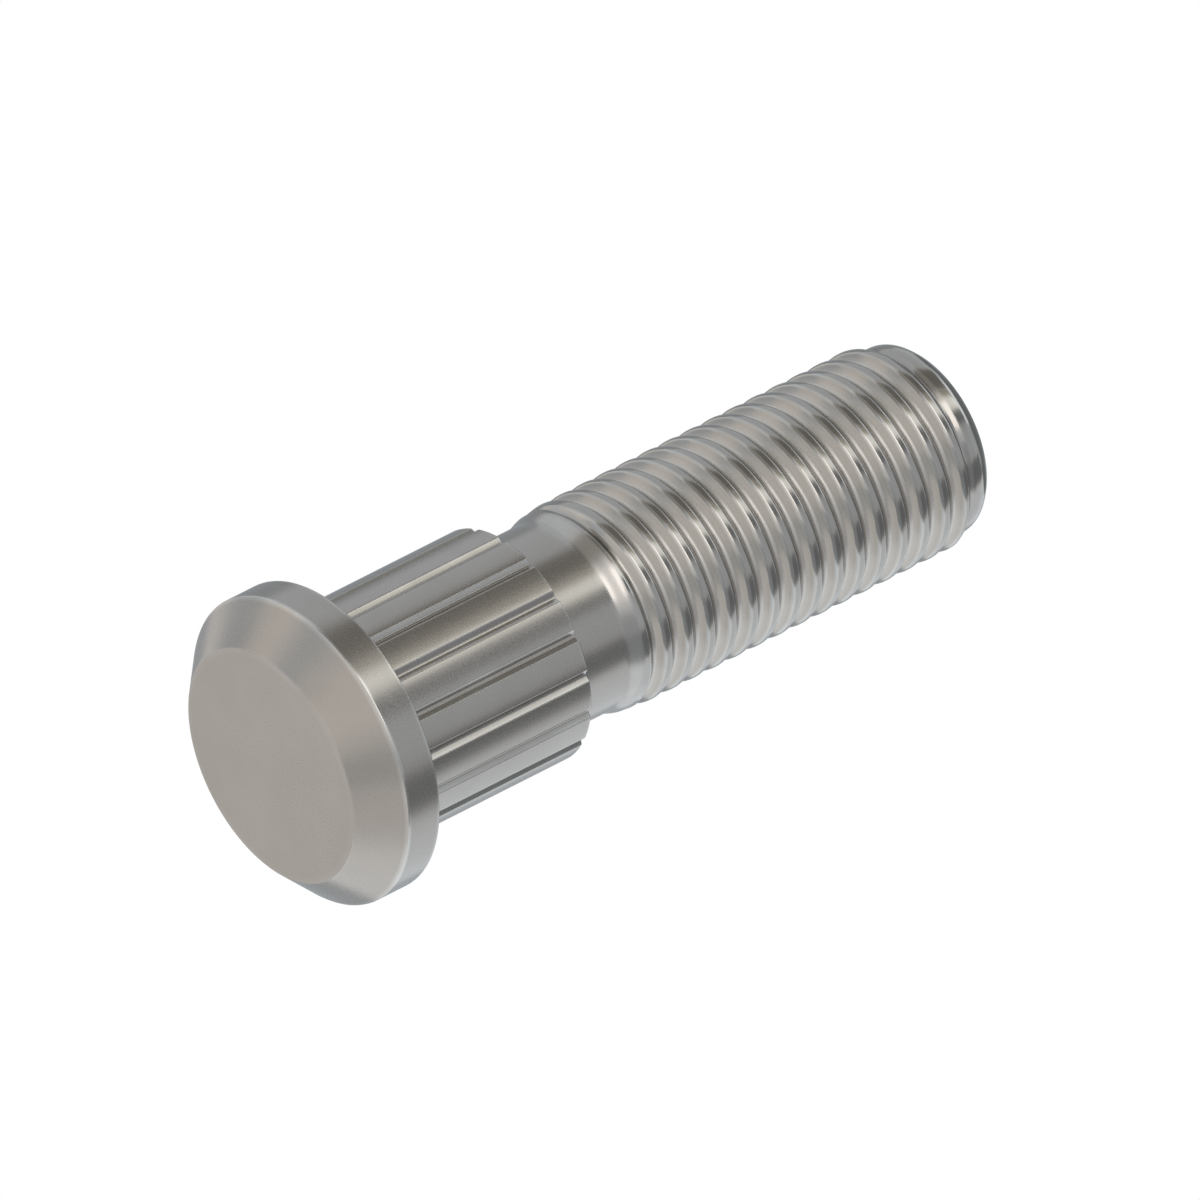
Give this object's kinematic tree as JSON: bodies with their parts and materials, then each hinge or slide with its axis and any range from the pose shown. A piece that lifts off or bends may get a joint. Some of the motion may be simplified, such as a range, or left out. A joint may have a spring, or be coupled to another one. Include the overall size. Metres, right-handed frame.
{
  "type": "wheel bolt",
  "caption": "Press-in wheel bolt: bevelled round head, serrated seat, plain shank and a fine right-hand thread that ends in a bevelled point.",
  "frame": {"origin": "centre of the head's flat outer face, on which the bolt stands", "axes": "+Z along the bolt's axis, from the head to the threaded end; +X is where the thread groove's full depth begins"},
  "size_m": [0.018, 0.018, 0.0462],
  "materials": {
    "steel": "phosphated and lightly oiled, satin"
  },
  "bodies": {
    "root": {"wheel_bolt": "steel"}
  },
  "joints": []
}
